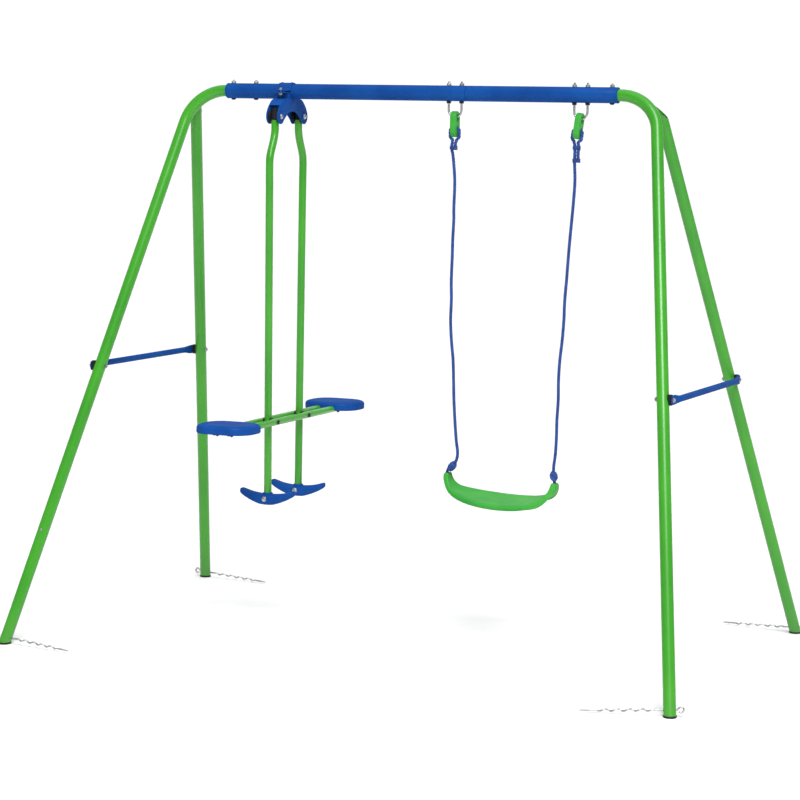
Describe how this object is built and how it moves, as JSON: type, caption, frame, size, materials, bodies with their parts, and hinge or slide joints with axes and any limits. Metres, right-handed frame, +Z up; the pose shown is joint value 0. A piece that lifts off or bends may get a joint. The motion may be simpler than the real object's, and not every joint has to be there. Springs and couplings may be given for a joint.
{
  "type": "garden swing set",
  "caption": "Free-standing splayed-leg frame whose beam carries a rope-hung strap swing and a face-to-face glider with footrests; corkscrew anchors hold the feet.",
  "frame": {"origin": "on the ground under the middle of the beam, midway between the four feet", "axes": "+X along the beam towards the strap swing's end, +Y to the back, +Z up; -Y is the front, where the bent legs run in one piece into the beam"},
  "size_m": [2.3158, 1.474, 1.818],
  "materials": {
    "green_paint": "gloss powder coat",
    "blue_paint": "gloss powder coat",
    "green_plastic": "satin moulded plastic",
    "blue_plastic": "satin moulded plastic",
    "black_plastic": "satin",
    "zinc_steel": "zinc plated",
    "black_steel": "black oxide",
    "blue_rope": "laid polypropylene rope"
  },
  "bodies": {
    "frame": {"beam_left": "blue_paint", "beam_right": "blue_paint", "crossbar_left": "blue_paint", "crossbar_right": "blue_paint", "glider_clamp_strap": "blue_paint", "glider_bracket": "blue_paint", "leg_front_left": "green_paint", "leg_front_right": "green_paint", "leg_rear_left": "green_paint", "leg_rear_right": "green_paint", "beam_sleeve_left": "blue_plastic", "beam_sleeve_right": "blue_plastic", "foot_cap_front_left": "black_plastic", "foot_cap_front_right": "black_plastic", "foot_cap_rear_left": "black_plastic", "foot_cap_rear_right": "black_plastic", "crossbar_saddle_front_left": "black_plastic", "crossbar_saddle_front_right": "black_plastic", "crossbar_saddle_rear_left": "black_plastic", "crossbar_saddle_rear_right": "black_plastic", "beam_bolt_left_outer": "zinc_steel", "beam_bolt_left_inner": "zinc_steel", "beam_bolt_right_outer": "zinc_steel", "top_bolt_left": "zinc_steel", "top_bolt_right": "zinc_steel", "crossbar_bolt_front_left": "zinc_steel", "crossbar_bolt_front_right": "zinc_steel", "crossbar_bolt_rear_left": "zinc_steel", "crossbar_bolt_rear_right": "zinc_steel", "swing_hanger_left": "zinc_steel", "swing_hanger_right": "zinc_steel", "clamp_bolt_front": "zinc_steel", "clamp_bolt_rear": "zinc_steel", "ground_anchor_front_left": "zinc_steel", "ground_anchor_front_right": "zinc_steel", "ground_anchor_rear_left": "zinc_steel", "ground_anchor_rear_right": "zinc_steel", "glider_pivot_bolt_front": "zinc_steel", "glider_pivot_bolt_rear": "zinc_steel"},
    "glider_front_arm": {"glider_arm_front": "green_paint", "footrest_front": "blue_plastic", "footrest_bolt_front": "zinc_steel", "rail_bolt_front": "black_steel", "rail_spacer_front_left": "black_plastic", "rail_spacer_front_right": "black_plastic"},
    "glider_rear_arm": {"glider_arm_rear": "green_paint", "footrest_rear": "blue_plastic", "footrest_bolt_rear": "zinc_steel", "rail_bolt_rear": "black_steel", "rail_spacer_rear_left": "black_plastic", "rail_spacer_rear_right": "black_plastic"},
    "glider_seats": {"seat_rail_left": "green_paint", "seat_rail_right": "green_paint", "glider_seat_front": "blue_plastic", "glider_seat_rear": "blue_plastic"},
    "swing": {"swing_connector_left": "green_plastic", "swing_connector_right": "green_plastic", "swing_rope_left": "blue_rope", "swing_rope_right": "blue_rope"},
    "swing_seat": {"swing_seat": "green_plastic"}
  },
  "joints": [
    {"name": "glider_front_swing", "type": "hinge", "parent": "frame", "child": "glider_front_arm", "pos_m": [-0.464, -0.087, 1.698], "axis": [1, 0, 0], "range_deg": [-20, 20]},
    {"name": "glider_rear_swing", "type": "hinge", "parent": "frame", "child": "glider_rear_arm", "pos_m": [-0.464, 0.087, 1.698], "axis": [1, 0, 0], "range_deg": [-20, 20]},
    {"name": "glider_seat_tilt", "type": "hinge", "parent": "glider_front_arm", "child": "glider_seats", "pos_m": [-0.464, -0.1172, 0.7], "axis": [1, 0, 0], "range_deg": [-15, 15]},
    {"name": "rope_swing", "type": "hinge", "parent": "frame", "child": "swing", "pos_m": [0.34575, 0, 1.7053], "axis": [1, 0, 0], "range_deg": [-50, 50]},
    {"name": "swing_seat_pitch", "type": "hinge", "parent": "swing", "child": "swing_seat", "pos_m": [0.34575, 0, 0.55], "axis": [1, 0, 0], "range_deg": [-10, 10]}
  ],
  "couplings": [
    {"joint": "glider_rear_swing", "follows": "glider_front_swing", "ratio": 1},
    {"joint": "glider_seat_tilt", "follows": "glider_front_swing", "ratio": -0.7442}
  ]
}
